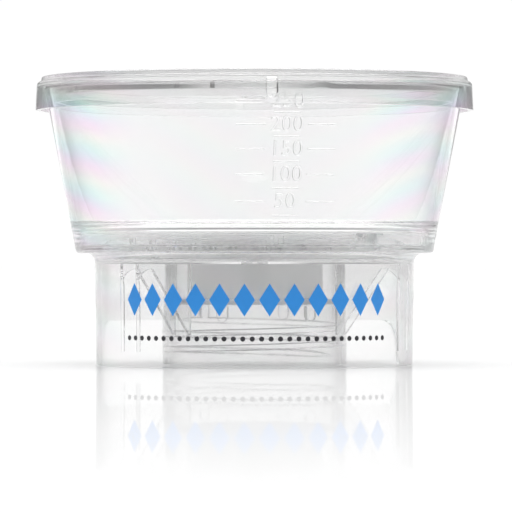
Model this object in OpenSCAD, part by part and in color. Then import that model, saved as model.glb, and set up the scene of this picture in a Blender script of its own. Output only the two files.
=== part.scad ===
// Bottle-top vacuum filter: a lidded 250 ml funnel on a base that screws onto a 45 mm bottle neck.
// Millimetres, +Z up. The origin is on the axis, in the plane the skirt stands on.
// -Y is the front, with the graduations. The vacuum port points to +Y.

/* [Funnel] */
// Outside diameter of the funnel at its rim
funnel_rim_d = 110.7; // [106:0.1:116]
// Outside diameter of the funnel where it meets the base
funnel_foot_d = 96.9; // [92:0.1:100]
// Height of the funnel from that seam to its rim
funnel_h = 36.25; // [30:0.05:46]
// Thickness of the funnel's wall
funnel_wall = 1.8; // [1.4:0.1:2.2]
// Depth of the lip below the seam that clamps the membrane
lip_h = 1.3; // [0.8:0.1:2]
// Thickness of that lip
lip_wall = 1.4; // [1:0.1:1.8]

/* [Graduations] */
// Volume between two numbered lines, in ml
grad_step_ml = 50; // [40:1:50]
// Number of numbered lines
grad_count = 5; // [3:1:5]
// How far a graduation stands out from the wall
grad_raise = 0.3; // [0.2:0.05:0.5]
// Width of a graduation line
grad_line = 0.5; // [0.4:0.05:0.8]
// Length of the lines beside the numbers
grad_long = 7.2; // [5:0.1:9]
// Length of the lines halfway between two numbers
grad_short = 7; // [5:0.1:9]
// Space kept clear for the numbers
grad_number_w = 10.4; // [9:0.1:12]

/* [Lid] */
// Gap between the funnel's rim and the lid's skirt
lid_gap = 0.65; // [0.4:0.05:1]
// Wall of the lid's skirt
lid_wall = 1.45; // [1.2:0.05:1.8]
// Depth of the skirt below the rim
lid_skirt_h = 5.85; // [4.5:0.05:8]
// How far the skirt spreads from top to bottom
lid_draft = 0.3; // [0:0.05:0.6]
// Thickness of the web over the rim
lid_web = 1.7; // [1.3:0.05:2.2]
// Height of the bead on the lid's edge
bead_h = 1.25; // [0.8:0.05:1.6]
// Width of that bead
bead_w = 1.7; // [1.3:0.05:2]
// How far the bead stands in from the skirt
bead_inset = 1.2; // [0.9:0.05:1.6]
// Thickness of the lid's middle panel
panel_t = 1.5; // [1.2:0.05:2]
// How far the panel's underside lies below the rim
panel_drop = 1.75; // [1.6:0.05:2.5]
// Gap between the rim and the plug ring inside it
plug_gap = 1.1; // [0.6:0.05:1.6]
// Wall of the plug ring
plug_wall = 1.3; // [1:0.05:1.6]
// Depth of the plug ring below the panel
plug_h = 2; // [1:0.1:3]
// Diameter of the gate boss in the middle of the panel
gate_d = 6.8; // [5:0.1:9]
// Depth of that boss below the panel
gate_h = 0.5; // [0.3:0.05:0.8]
// Width of the two vent notches in the skirt
vent_w = 2.5; // [2:0.1:3]
// How far a vent notch reaches below the rim
vent_h = 4.2; // [3:0.1:4.4]
// How far the lid is turned on the funnel
lid_turn = -4.4; // [-180:0.1:180]

/* [Membrane] */
// Thickness of the filter membrane
membrane_t = 0.2; // [0.15:0.05:0.3]
// Thickness of the drain fabric under it
screen_t = 0.45; // [0.3:0.05:0.6]
// Gap between these discs and the wall around them
disc_gap = 0.4; // [0.2:0.05:0.8]

/* [Base cup] */
// Height of the seam between base and funnel above the bench
seam_z = 36.5; // [36:0.1:40]
// Height of the underside of the cup's flange
flange_z = 29.4; // [29:0.1:30]
// Thickness of that flange
flange_t = 2.2; // [1.8:0.1:2.6]
// Wall of the cup
cup_wall = 1.6; // [1.4:0.05:1.9]
// How far the cup's outside draws in from the seam to the flange
cup_draft = 1.15; // [0.6:0.05:1.5]
// Radius of the cup's lower outside edge
cup_edge_r = 1; // [0.6:0.05:1.4]
// Width of the flat that the mould's date insert leaves on the cup
insert_w = 8.8; // [6:0.1:10]
// Height of that flat
insert_h = 2.1; // [1.6:0.1:2.4]
// How far its upper edge lies below the seam
insert_drop = 2; // [1.4:0.1:2.4]
// Depth of the flat
insert_depth = 0.35; // [0.25:0.05:0.5]
// Where the flat is, measured round from the front
insert_angle = 29; // [0:1:50]
// Height of the underside of the cup's floor
floor_z = 26.7; // [26.4:0.1:27.2]
// Thickness of that floor
floor_t = 1.6; // [1.4:0.1:2]
// Number of drain rings that carry the discs
ring_count = 7; // [5:1:8]
// Width of a drain ring
ring_w = 1; // [0.8:0.1:1.2]
// Width of the six channels cut through the rings
channel_w = 2.4; // [1.6:0.1:3]
// Inside diameter of the outlet under the floor
outlet_d = 4.4; // [3.6:0.1:5]
// Wall of the outlet spout
outlet_wall = 1; // [0.8:0.1:1.2]
// Length of the spout below the floor
outlet_h = 6.5; // [4:0.1:8]

/* [Skirt] */
// Outside diameter of the skirt under the cup
skirt_top_d = 84.3; // [82:0.1:86]
// Outside diameter of the skirt at the bench
skirt_foot_d = 83.5; // [82:0.1:86]
// Wall of the skirt
skirt_wall = 1.5; // [1.2:0.1:1.8]
// Radius of the hollow corner between skirt and flange
neck_r = 2.4; // [1.6:0.1:2.6]
// Height of the window in the back of the skirt
window_h = 11.4; // [9:0.1:13]
// Where the window starts, behind the axis
window_y = 5.6; // [3:0.1:9]
// Radius of the window's upper corners
window_r = 9.4; // [6:0.1:9.4]
// Radius of the skirt's lower corners beside the window
skirt_corner_r = 2; // [1:0.1:2.4]

/* [Neck] */
// Inside diameter of the collar between its threads
neck_d = 45.6; // [45.2:0.1:46]
// Inside diameter across the thread's crests
thread_d = 43.2; // [42.6:0.1:43.8]
// Pitch of the thread
thread_pitch = 4; // [3.6:0.1:4.2]
// Height of the first thread ridge above the bench
thread_z = 1.8; // [1.4:0.1:2.2]
// Number of thread ridges
thread_count = 3; // [2:1:3]
// Wall of the collar
collar_wall = 1.5; // [1.3:0.1:1.9]
// Gap between the collar and the bench
collar_lift = 0.3; // [0:0.1:1]
// Height of the seat that the gasket lies against
seat_z = 17.5; // [17:0.1:18]
// Inside diameter of the chamber above the seat
chamber_d = 33; // [32:0.1:34]
// Wall of the chamber
chamber_wall = 1.5; // [1.3:0.1:1.8]
// Thickness of the bottle gasket
gasket_t = 1.5; // [1:0.1:2]
// Inside diameter of the bottle gasket
gasket_hole_d = 31; // [29:0.1:32]
// Gap between the gasket and the collar's inside
gasket_play = 1.5; // [1.2:0.05:1.8]
// Gap between the gasket and the guides under it
gasket_gap = 0.3; // [0.2:0.05:0.5]
// Width of the six guides inside the collar
guide_w = 2.8; // [2:0.1:3.4]
// How far a guide reaches below the seat
guide_h = 5.8; // [4.6:0.1:6]

/* [Gussets] */
// Thickness of a gusset
gusset_t = 1.2; // [1:0.05:1.5]
// Distance between the two gussets of a pair
gusset_pitch = 6.4; // [5:0.1:8]
// Angle of a pair from the front
gusset_angle = 60; // [50:1:62]
// Lowest point of a gusset, at the collar
gusset_foot_z = 8.1; // [5:0.1:12]
// Radius of the arch at the skirt end of a gusset
arch_r = 4.5; // [3:0.1:5]
// Web left above that arch
arch_web = 1.3; // [1:0.1:2]
// Height above the bench where a gusset's bead on the skirt ends
bead_foot_z = 4; // [3:0.1:8]
// How far that bead stands in from the skirt
bead_raise = 0.6; // [0.4:0.1:1]

/* [Vacuum port] */
// Height of the port's axis above the bench
port_z = 22.3; // [22:0.1:22.4]
// Bore of the port
port_bore = 4.2; // [3:0.1:4.6]
// Outside diameter of the duct inside the skirt
duct_d = 7.6; // [7:0.1:8]
// Length of the spigot outside the skirt
port_l = 13; // [10:0.1:14]
// Diameter of the spigot between its barbs
spigot_d = 6.4; // [6.2:0.1:6.8]
// Diameter over the barbs
barb_d = 8.6; // [7.6:0.1:9]
// Number of barbs
barb_count = 3; // [2:1:3]
// Length of one barb
barb_l = 3; // [2.4:0.1:3]
// Length of the cotton plug in the port
plug_l = 9; // [6:0.1:12]
// Gap between the cotton plug and the bore
cotton_gap = 0.05; // [0.02:0.01:0.1]

/* [Hidden] */
$fn = 96;

clear_plastic = [0.86, 0.88, 0.92, 0.45];
white_membrane = [0.97, 0.97, 0.95];
white_fabric = [0.9, 0.91, 0.92];
clear_silicone = [0.85, 0.86, 0.88, 0.6];
white_cotton = [0.95, 0.95, 0.93];

sink = 0.4;     // how far one feature of a moulding runs into the next
over = 1;       // how far a cutter runs past what it cuts
weld = 0.05;    // gap beside the funnel's lip, filled by the weld on the real part

funnel_rim_r = funnel_rim_d / 2;
funnel_foot_r = funnel_foot_d / 2;
rim_z = seam_z + funnel_h;
flare = (funnel_rim_r - funnel_foot_r) / funnel_h;
cup_r = funnel_foot_r - cup_wall;
disc_z = seam_z - lip_h;
disc_r = cup_r - disc_gap;
ring_top_z = disc_z - membrane_t - screen_t;

// Height above the membrane at which the funnel holds a volume given in cubic millimetres.
wet_r = funnel_foot_r - funnel_wall - flare * lip_h;
function fill_h(volume) = (pow(pow(wet_r, 3) + 3 * flare * volume / PI, 1 / 3) - wet_r) / flare;
function wall_r(z) = funnel_foot_r + flare * (z - seam_z);

skirt_top_r = skirt_top_d / 2;
skirt_foot_r = skirt_foot_d / 2;
skirt_in_r = skirt_top_r - skirt_wall;
skirt_foot_in_r = skirt_foot_r - skirt_wall;
neck_z = flange_z - neck_r;
collar_r = neck_d / 2 + collar_wall;
chamber_r = chamber_d / 2;
outlet_r = outlet_d / 2;
port_tip_y = skirt_top_r + port_l;

// Points of an arc about [r, z], from angle a to angle b.
arc_steps = 6;
function arc(r, z, radius, a, b) =
    [for (i = [0 : arc_steps]) let (t = a + (b - a) * i / arc_steps)
        [r + radius * cos(t), z + radius * sin(t)]];

module turned(points) {
    rotate_extrude() polygon(points);
}

module tube(outer_r, inner_r, low_z, high_z) {
    translate([0, 0, low_z]) difference() {
        cylinder(r = outer_r, h = high_z - low_z);
        translate([0, 0, -over]) cylinder(r = inner_r, h = high_z - low_z + 2 * over);
    }
}

// ---- lid ----

lid_in_r = funnel_rim_r + lid_gap;
lid_out_r = lid_in_r + lid_wall;
plug_out_r = funnel_rim_r - funnel_wall - plug_gap;
plug_in_r = plug_out_r - plug_wall;
panel_z = rim_z - panel_drop;
web_z = rim_z + lid_web;
lid_foot_z = rim_z - lid_skirt_h;
bead_out_r = lid_out_r - bead_inset;
shoulder_r = 1;
bead_edge_r = 0.5;
vent_rise = lid_web / 3;

module vent_notch() {
    notch_r = vent_w / 2;
    foot_z = rim_z - vent_h + notch_r;
    depth = lid_wall + lid_gap + over;
    translate([0, -funnel_rim_r - lid_gap / 2, foot_z]) {
        rotate([90, 0, 0]) cylinder(r = notch_r, h = depth);
        translate([-notch_r, -depth, 0]) cube([vent_w, depth, rim_z + vent_rise - foot_z]);
    }
}

module lid() {
    color(clear_plastic) rotate([0, 0, lid_turn]) difference() {
        union() {
            turned(concat(
                [[0, panel_z], [plug_in_r, panel_z], [plug_in_r, panel_z - plug_h],
                 [plug_out_r, panel_z - plug_h], [plug_out_r, rim_z], [lid_in_r, rim_z],
                 [lid_in_r + lid_draft, lid_foot_z], [lid_out_r + lid_draft, lid_foot_z]],
                arc(lid_out_r - shoulder_r, web_z - shoulder_r, shoulder_r, 0, 90),
                arc(bead_out_r - bead_edge_r, web_z + bead_h - bead_edge_r, bead_edge_r, 0, 90),
                arc(bead_out_r - bead_w + bead_edge_r, web_z + bead_h - bead_edge_r, bead_edge_r, 90, 180),
                [[bead_out_r - bead_w, web_z], [plug_in_r, web_z],
                 [plug_in_r, panel_z + panel_t], [0, panel_z + panel_t]]));
            translate([0, 0, panel_z - gate_h]) cylinder(d = gate_d, h = gate_h + panel_t / 2);
        }
        for (a = [0, 180]) rotate([0, 0, a]) vent_notch();
    }
}

// ---- funnel ----

// A raised line of the given length on the cone at height z, its middle a given way round from the front.
module graduation(z, length, way_round) {
    rotate([0, 0, way_round / wall_r(z) * 180 / PI]) translate([0, -wall_r(z), z]) rotate([atan(flare), 0, 0])
        translate([-length / 2, -grad_raise, -grad_line / 2]) cube([length, grad_raise + sink, grad_line]);
}

module graduations() {
    step = grad_step_ml * 1000;
    side = (grad_number_w + grad_long) / 2;
    for (i = [1 : grad_count]) {
        for (way = [-side, side]) graduation(disc_z + fill_h(i * step), grad_long, way);
        graduation(disc_z + fill_h((i - 0.5) * step), grad_short, 0);
    }
}

module funnel_wall_solid() {
    lip_out_r = cup_r - weld;
    lip_in_r = lip_out_r - lip_wall;
    wall_in_r = funnel_foot_r - funnel_wall;
    blend_h = (wall_in_r - lip_in_r) * 1.5;
    turned([[lip_in_r, disc_z], [lip_out_r, disc_z], [lip_out_r, seam_z],
            [funnel_foot_r, seam_z], [funnel_rim_r, rim_z], [funnel_rim_r - funnel_wall, rim_z],
            [wall_in_r + flare * blend_h, seam_z + blend_h], [lip_in_r, seam_z]]);
}

module funnel() {
    color(clear_plastic) union() {
        funnel_wall_solid();
        graduations();
    }
}

// ---- membrane and drain fabric ----

module membrane() {
    color(white_membrane) translate([0, 0, disc_z - membrane_t]) cylinder(r = disc_r, h = membrane_t);
}

module drain_screen() {
    color(white_fabric) translate([0, 0, ring_top_z]) cylinder(r = disc_r, h = screen_t);
}

// ---- base ----

module cup() {
    low_r = funnel_foot_r - cup_draft;
    turned(concat(
        [[0, floor_z], [skirt_top_r, floor_z]],
        arc(skirt_top_r + neck_r, neck_z, neck_r, 180, 90),
        arc(low_r - cup_edge_r, flange_z + cup_edge_r, cup_edge_r, -90, 0),
        [[funnel_foot_r, seam_z], [cup_r, seam_z], [cup_r, flange_z + flange_t],
         [skirt_in_r, flange_z + flange_t], [skirt_in_r, floor_z + floor_t], [0, floor_z + floor_t]]));
}

module drain_rings() {
    span = disc_r - ring_w;
    difference() {
        for (i = [1 : ring_count]) {
            r = span * i / ring_count;
            foot_z = (r + ring_w > skirt_in_r ? flange_z + flange_t : floor_z + floor_t) - sink;
            tube(r + ring_w, r, foot_z, ring_top_z);
        }
        for (a = [0 : 60 : 120]) rotate([0, 0, a + 30])
            translate([-span, -channel_w / 2, flange_z + flange_t])
                cube([2 * span, channel_w, over + ring_top_z]);
    }
}

module skirt() {
    far = skirt_top_r + over;
    difference() {
        turned([[skirt_foot_in_r, 0], [skirt_foot_r, 0], [skirt_top_r, neck_z], [skirt_top_r, floor_z + sink],
                [skirt_in_r, floor_z + sink]]);
        // the window, as it is seen from the side
        translate([-far, 0, 0]) rotate([90, 0, 90]) linear_extrude(2 * far)
            polygon(concat(
                [[far, -over], [far, window_h]],
                arc(window_y + window_r, window_h - window_r, window_r, 90, 180),
                arc(window_y - skirt_corner_r, skirt_corner_r, skirt_corner_r, 0, -90),
                [[window_y - skirt_corner_r, -over]]));
    }
}

module collar() {
    crest_w = thread_pitch / 4;
    root_w = thread_pitch / 2;
    tube(collar_r, neck_d / 2, collar_lift, floor_z + sink);
    tube(chamber_r + chamber_wall, chamber_r, seat_z, floor_z + sink);
    for (i = [0 : thread_count - 1]) translate([0, 0, thread_z + i * thread_pitch])
        turned([[neck_d / 2 + sink, 0], [thread_d / 2, (root_w - crest_w) / 2],
                [thread_d / 2, (root_w + crest_w) / 2], [neck_d / 2 + sink, root_w]]);
    for (a = [30 : 60 : 330]) rotate([0, 0, a]) guide();
}

// A rounded guide on the collar's inside that centres the gasket and the bottle.
module guide() {
    low_z = seat_z - guide_h + guide_w / 2;
    thick = neck_d / 2 + sink - thread_d / 2;
    translate([0, -thread_d / 2, 0]) rotate([90, 0, 0]) {
        translate([0, low_z, 0]) cylinder(d = guide_w, h = thick);
        translate([-guide_w / 2, low_z, 0]) cube([guide_w, seat_z - gasket_t - gasket_gap - low_z, thick]);
    }
}

// One gusset between collar and skirt, with an arch under the floor and a bead down the skirt.
module gusset() {
    arch_z = floor_z - arch_web - arch_r;
    rotate([90, 0, 0]) linear_extrude(gusset_t, center = true) {
        polygon(concat(
            [[collar_r - sink, floor_z + sink], [collar_r - sink, gusset_foot_z], [collar_r, gusset_foot_z]],
            arc(skirt_in_r - arch_r, arch_z, arch_r, 90, 0),
            [[skirt_in_r + sink, arch_z], [skirt_in_r + sink, floor_z + sink]]));
        polygon([[skirt_in_r - bead_raise, arch_z + bead_raise], [skirt_in_r + sink, arch_z + bead_raise],
                 [skirt_foot_in_r + sink, bead_foot_z], [skirt_foot_in_r - bead_raise / 2, bead_foot_z]]);
    }
}

module duct() {
    translate([0, chamber_r + sink, port_z]) rotate([-90, 0, 0])
        cylinder(d = duct_d, h = skirt_top_r - skirt_wall / 2 - chamber_r - sink);
    translate([0, skirt_top_r - skirt_wall / 2, port_z]) rotate([-90, 0, 0])
        cylinder(d = spigot_d, h = port_l + skirt_wall / 2);
    for (i = [1 : barb_count]) translate([0, port_tip_y - i * barb_l, port_z]) rotate([-90, 0, 0])
        cylinder(d1 = barb_d, d2 = spigot_d, h = barb_l);
}

// The shallow flat that the mould's date insert leaves on the cup.
module insert_mark() {
    high_z = seam_z - insert_drop;
    face_r = funnel_foot_r - cup_draft * insert_drop / (seam_z - flange_z - cup_edge_r) - insert_depth;
    rotate([0, 0, insert_angle]) translate([-insert_w / 2, -face_r - over, high_z - insert_h])
        cube([insert_w, over, insert_h]);
}

module base() {
    color(clear_plastic) difference() {
        union() {
            cup();
            drain_rings();
            skirt();
            collar();
            for (side = [-1, 1], offset = [-0.5, 0.5])
                rotate([0, 0, -90 + side * gusset_angle]) translate([0, offset * gusset_pitch, 0]) gusset();
            duct();
            tube(outlet_r + outlet_wall, outlet_r, floor_z - outlet_h, floor_z + sink);
        }
        translate([0, 0, floor_z - over]) cylinder(r = outlet_r, h = floor_t + 2 * over);
        translate([0, outlet_r + outlet_wall + over, port_z]) rotate([-90, 0, 0])
            cylinder(d = port_bore, h = port_tip_y);
        insert_mark();
    }
}

// ---- pieces in the base ----

module bottle_gasket() {
    color(clear_silicone)
        tube(neck_d / 2 - gasket_play, gasket_hole_d / 2, seat_z - gasket_t, seat_z);
}

module port_plug() {
    color(white_cotton) translate([0, port_tip_y - over - plug_l, port_z]) rotate([-90, 0, 0])
        cylinder(d = port_bore - 2 * cotton_gap, h = plug_l);
}

lid();
funnel();
membrane();
drain_screen();
base();
bottle_gasket();
port_plug();
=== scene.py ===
# %% [markdown]
# # A clear bottle-top vacuum filter
# This lesson dresses one moulded laboratory part: a lidded funnel, welded on a base that screws
# onto a bottle neck. Nearly all of it is clear polystyrene, so the form of every wall shows
# through every other wall, and the shapes have to be true on the inside as well.

# %% Load the fixed frame
import math

import bmesh
import bpy
import numpy as np
from mathutils import Matrix, Vector


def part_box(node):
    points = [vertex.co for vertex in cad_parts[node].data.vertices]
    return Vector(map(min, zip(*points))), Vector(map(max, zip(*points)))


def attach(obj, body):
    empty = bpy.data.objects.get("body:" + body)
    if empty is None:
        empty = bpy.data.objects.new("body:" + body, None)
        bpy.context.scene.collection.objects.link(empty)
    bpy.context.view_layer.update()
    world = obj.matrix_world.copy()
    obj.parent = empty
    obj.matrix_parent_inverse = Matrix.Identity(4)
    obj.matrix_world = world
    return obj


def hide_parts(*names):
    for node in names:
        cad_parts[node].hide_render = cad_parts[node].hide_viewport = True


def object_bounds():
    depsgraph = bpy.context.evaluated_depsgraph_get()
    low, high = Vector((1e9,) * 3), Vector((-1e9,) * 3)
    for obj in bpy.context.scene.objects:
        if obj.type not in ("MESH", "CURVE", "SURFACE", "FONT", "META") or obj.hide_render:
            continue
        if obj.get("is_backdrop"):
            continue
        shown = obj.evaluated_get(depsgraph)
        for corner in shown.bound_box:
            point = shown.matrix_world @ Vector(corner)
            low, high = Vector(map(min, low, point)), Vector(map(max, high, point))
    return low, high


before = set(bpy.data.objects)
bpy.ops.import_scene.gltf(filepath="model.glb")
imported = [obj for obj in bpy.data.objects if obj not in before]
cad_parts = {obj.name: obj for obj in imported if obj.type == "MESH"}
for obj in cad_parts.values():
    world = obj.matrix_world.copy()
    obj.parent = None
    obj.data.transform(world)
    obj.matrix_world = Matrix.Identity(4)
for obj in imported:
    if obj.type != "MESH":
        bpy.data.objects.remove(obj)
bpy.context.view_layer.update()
print("solids:", ", ".join(sorted(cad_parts)))

# %% [markdown]
# ## Sizes
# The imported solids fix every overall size, so the radii and heights come from their boxes.
# What a box can't tell, such as a wall or a fillet, is a named value in millimetres.

# %% Sizes in millimetres
MM = 0.001


def reach(node):
    """Lowest z, highest z and radius of a solid about the axis, in millimetres."""
    low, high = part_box(node)
    return low[2] / MM, high[2] / MM, high[0] / MM


lid_low, lid_top, lid_r = reach("lid")
lip_low, rim_z, rim_r = reach("funnel")
_, seam_z, cup_out_r = reach("base")
screen_low, _, disc_r = reach("drain_screen")
gasket_low, seat_z, gasket_r = reach("bottle_gasket")
port_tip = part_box("base")[1][1] / MM
print(f"lid to {lid_top:.2f}, rim at {rim_z:.2f}, seam at {seam_z:.2f}, seat at {seat_z:.2f} mm")

# %% [markdown]
# ## Nodes written as arithmetic
# Both geometry nodes and shader nodes do sums with the same Math node. Wrapping an output
# socket in a small class lets a formula be written as Python, and each operator adds its node.
# Every other node comes from one method, `add`, which sets its settings first and its inputs after.

# %% A socket that can be used in a formula
class Wire:
    def __init__(self, net, socket):
        self.net, self.socket = net, socket

    def math(self, operation, *values):
        return self.net.add("ShaderNodeMath", {"operation": operation}, dict(enumerate(values)))

    def __add__(self, other):
        return self.math("ADD", self, other)

    def __sub__(self, other):
        return self.math("SUBTRACT", self, other)

    def __rsub__(self, other):
        return self.math("SUBTRACT", other, self)

    def __mul__(self, other):
        return self.math("MULTIPLY", self, other)

    def __truediv__(self, other):
        return self.math("DIVIDE", self, other)

    def __pow__(self, other):
        return self.math("POWER", self, other)

    def of(self, operation):
        """A one-sided function, such as SINE or FLOOR."""
        return self.math(operation, self)

    def within(self, low, high):
        """0 below low, 1 above high, and a soft step between."""
        values = {"Value": self, "From Min": low, "From Max": high}
        return self.net.add("ShaderNodeMapRange", {"interpolation_type": "SMOOTHSTEP"}, values)


class Net:
    def __init__(self, tree):
        self.tree = tree

    def add(self, kind, settings=None, inputs=None, out=0):
        node = self.tree.nodes.new(kind)
        for name, value in (settings or {}).items():
            setattr(node, name, value)
        for name, value in (inputs or {}).items():
            if isinstance(value, Wire):
                self.tree.links.new(value.socket, node.inputs[name])
            else:
                node.inputs[name].default_value = value
        return Wire(self, node.outputs[out])


# %% [markdown]
# ## From a node tree to a plain mesh
# A geometry-nodes modifier is a recipe. `grow` builds the recipe, sets its named inputs by their
# identifiers, lets Blender evaluate it once, and keeps only the mesh that comes out.

# %% Grow a mesh from a recipe
def new_object(name, mesh):
    piece = bpy.data.objects.new(name, mesh)
    bpy.context.scene.collection.objects.link(piece)
    return piece


def settle(piece):
    """Turns a piece and its modifiers into one plain mesh."""
    shape = piece.evaluated_get(bpy.context.evaluated_depsgraph_get())
    mesh = bpy.data.meshes.new_from_object(shape)
    piece.modifiers.clear()
    piece.data = mesh
    return piece


def grow(name, recipe, start=None, **sizes):
    """Makes a mesh with the tree that recipe builds. Lengths are in metres, angles in radians."""
    tree = bpy.data.node_groups.new(name, "GeometryNodeTree")
    tree.interface.new_socket("Geometry", in_out="INPUT", socket_type="NodeSocketGeometry")
    tree.interface.new_socket("Geometry", in_out="OUTPUT", socket_type="NodeSocketGeometry")
    for size, value in sizes.items():
        kind = "NodeSocketInt" if isinstance(value, int) else "NodeSocketFloat"
        tree.interface.new_socket(size, in_out="INPUT", socket_type=kind)
    net = Net(tree)
    entry = tree.nodes.new("NodeGroupInput")
    inputs = {size: Wire(net, entry.outputs[size]) for size in sizes}
    shape = recipe(net, Wire(net, entry.outputs[0]), **inputs)
    whole = net.add("GeometryNodeRealizeInstances", {}, {0: shape})
    made = net.add("GeometryNodeSetMaterial", {}, {"Geometry": whole, "Material": clear_plastic})
    tree.links.new(made.socket, tree.nodes.new("NodeGroupOutput").inputs[0])
    piece = start or new_object(name, bpy.data.meshes.new(name))
    modifier = piece.modifiers.new(name, "NODES")
    modifier.node_group = tree
    for item in tree.interface.items_tree:
        if item.in_out == "INPUT" and item.name in sizes:
            modifier[item.identifier] = sizes[item.name]
    return settle(piece)


# %% [markdown]
# ## Clear moulded polystyrene
# The real part is injection moulded in crystal polystyrene. It bends light strongly, at an index
# of 1.59, and hardly tints it. What colour it has comes from stress frozen in where the melt met
# again, at the two sides of each wall, which splits the light into faint cyan, lilac and pink.
# Red and green take turns in that, while blue hardly moves.
# The mould is polished, a little less so on the skirt, and left matt round the chamber and where the
# gate was cut off. Some zones are also painted a little darker or paler in colour: that is painted
# shade and painted light, standing in for the grey of light lost on a long way edgewise. They are
# matched to the part's look, not measured on the plastic.

# %% Clear polystyrene
PALE, LID_TINT, BASE_TINT = 0.972, 0.12, 0.06
TINT_GRAIN, TINT_SWIRL, TINT_RISE, TINT_SPREAD = 18.0, 9.0, 560.0, 300.0
TINT_SIDES, TINT_MIDDLE, TINT_LID, TINT_LID_LOSS = (0.033, 0.052), 0.05, (0.06, 0.074), 0.75
# For red, green and blue: how far the cosine is shifted, its share, and what is added to it
TINT_COLOURS = ((0.0, 1.0, -0.1), (2.1, 0.8, -0.05), (4.2, 0.2, 0.2))
POLISH_GRAIN, POLISH_UNEVEN = 60.0, 0.02
ZONE_SOFT, ZONE_EDGE = 0.3, 0.2
# For each zone: radius, lowest z and highest z in millimetres, roughness, and how much paler it is
# painted; below zero is painted shade, above zero painted light
LID_ZONES = {"gate": (3.6, 70.3, 73.4, 0.5, -0.06), "panel and bead": (60.0, 70.6, 76.0, 0.0, -0.05)}
BASE_ZONES = {"cup": (46.6, 31.9, 34.6, 0.03, 0.027), "flange": (60.0, 28.5, 31.3, 0.03, -0.13),
              "under the flange": (60.0, -1.0, 28.4, 0.035, -0.02),
              "collar": (24.6, -1.0, 17.0, 0.0, -0.04), "chamber": (18.8, 17.6, 26.9, 0.35, -0.12)}


def new_material(name, **constants):
    """A material with one shader, its fixed values set on the shader's own sockets."""
    material = bpy.data.materials.new(name)
    material.use_nodes = True
    shader = material.node_tree.nodes["Principled BSDF"]
    for socket, value in constants.items():
        shader.inputs[socket.replace("_", " ")].default_value = value
    return material, Net(material.node_tree), shader


def drive(net, shader, socket, wire):
    net.tree.links.new(wire.socket, shader.inputs[socket])


def object_place(net):
    return net.add("ShaderNodeTexCoord", out="Object")


def parts_of(net, vector):
    return [net.add("ShaderNodeSeparateXYZ", {}, {0: vector}, out=i) for i in range(3)]


def noise(net, place, scale, detail=2.0, roughness=0.5):
    inputs = {"Vector": place, "Scale": scale, "Detail": detail, "Roughness": roughness}
    return net.add("ShaderNodeTexNoise", {}, inputs)


def bump(net, shader, height, depth_mm):
    inputs = {"Height": height, "Distance": depth_mm * MM, "Strength": 1.0}
    drive(net, shader, "Normal", net.add("ShaderNodeBump", {}, inputs))


def between(value, low, high):
    """1 from low to high, in millimetres, with soft ends."""
    rise = value.within((low - ZONE_SOFT) * MM, (low + ZONE_SOFT) * MM)
    return rise * (1.0 - value.within((high - ZONE_SOFT) * MM, (high + ZONE_SOFT) * MM))


def stress_tint(net, place, pale_and_painted_shade, amount):
    """Cosines out of step with each other make the pastel bands of stressed plastic."""
    x, y, z = parts_of(net, place)
    side = x.of("ABSOLUTE")
    phase = noise(net, place, TINT_GRAIN, 1.0) * TINT_SWIRL + z * TINT_RISE - side * TINT_SPREAD
    below_lid = 1.0 - z.within(*TINT_LID) * TINT_LID_LOSS
    strength = (side.within(*TINT_SIDES) * amount + amount * TINT_MIDDLE) * below_lid
    # The paleness passed in carries each zone's painted shade and painted light on top of the plastic's
    # own paleness.
    bands = [((phase + shift).of("COSINE") * share + lift) * strength + pale_and_painted_shade
             for shift, share, lift in TINT_COLOURS]
    return net.add("ShaderNodeCombineColor", {}, dict(enumerate(bands)))


def polystyrene(name, amount, zones):
    """The clear plastic, with a share of stress tint, and its zones of roughness and of painted shade
    and light.
    """
    material, net, shader = new_material(name, Transmission_Weight=1.0, IOR=1.59)
    place = object_place(net)
    x, y, z = parts_of(net, place)
    radius = (x * x + y * y) ** 0.5
    # pale starts as the plastic's own paleness; each zone then adds painted shade where it is darker
    # and painted light where it is paler.
    rough, pale = noise(net, place, POLISH_GRAIN) * POLISH_UNEVEN, z * 0.0 + PALE
    for out_r, low, high, roughness, painted_shading in zones.values():
        layer = between(z, low, high)
        zone = layer * (1.0 - radius.within((out_r - ZONE_EDGE) * MM, (out_r + ZONE_EDGE) * MM))
        rough, pale = rough + zone * roughness, pale + zone * painted_shading
    drive(net, shader, "Roughness", rough)
    drive(net, shader, "Base Color", stress_tint(net, place, pale, amount))
    return material


clear_plastic = polystyrene("clear polystyrene", LID_TINT, LID_ZONES)
base_plastic = polystyrene("clear base", BASE_TINT, BASE_ZONES)
print("made", clear_plastic.name, base_plastic.name)

# %% [markdown]
# ## The white and soft materials
# The membrane is a cast film whose pores are too small to see, so it is matt with a very fine
# grain, and thin enough for light to glow through. The drain fabric and the cotton are loose
# fibres that pass some light too. The gasket is milky silicone.

# %% Membrane, fabric, cotton and silicone
STRAND_SHADE = 0.03


def mix_shaders(net, factor, first, second):
    """Puts a blend of two shaders on the surface. A factor may be a wire or a number."""
    blend = net.tree.nodes.new("ShaderNodeMixShader")
    if isinstance(factor, Wire):
        net.tree.links.new(factor.socket, blend.inputs[0])
    else:
        blend.inputs[0].default_value = factor
    net.tree.links.new(first.outputs[0], blend.inputs[1])
    net.tree.links.new(second.socket, blend.inputs[2])
    net.tree.links.new(blend.outputs[0], net.tree.nodes["Material Output"].inputs["Surface"])


def fibrous(name, colour, scale, depth_mm, through, roughness=0.9):
    material, net, shader = new_material(name, Roughness=roughness)
    place = object_place(net)
    strands = noise(net, place, scale, 6.0, 0.7)
    light = strands.within(0.2, 0.8) * STRAND_SHADE + (1.0 - STRAND_SHADE)
    white = net.add("ShaderNodeVectorMath", {"operation": "SCALE"}, {0: colour, "Scale": light})
    drive(net, shader, "Base Color", white)
    bump(net, shader, strands, depth_mm)
    glow_through = net.add("ShaderNodeBsdfTranslucent", {}, {"Color": (*colour, 1.0)})
    mix_shaders(net, through, shader, glow_through)
    return material


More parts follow.
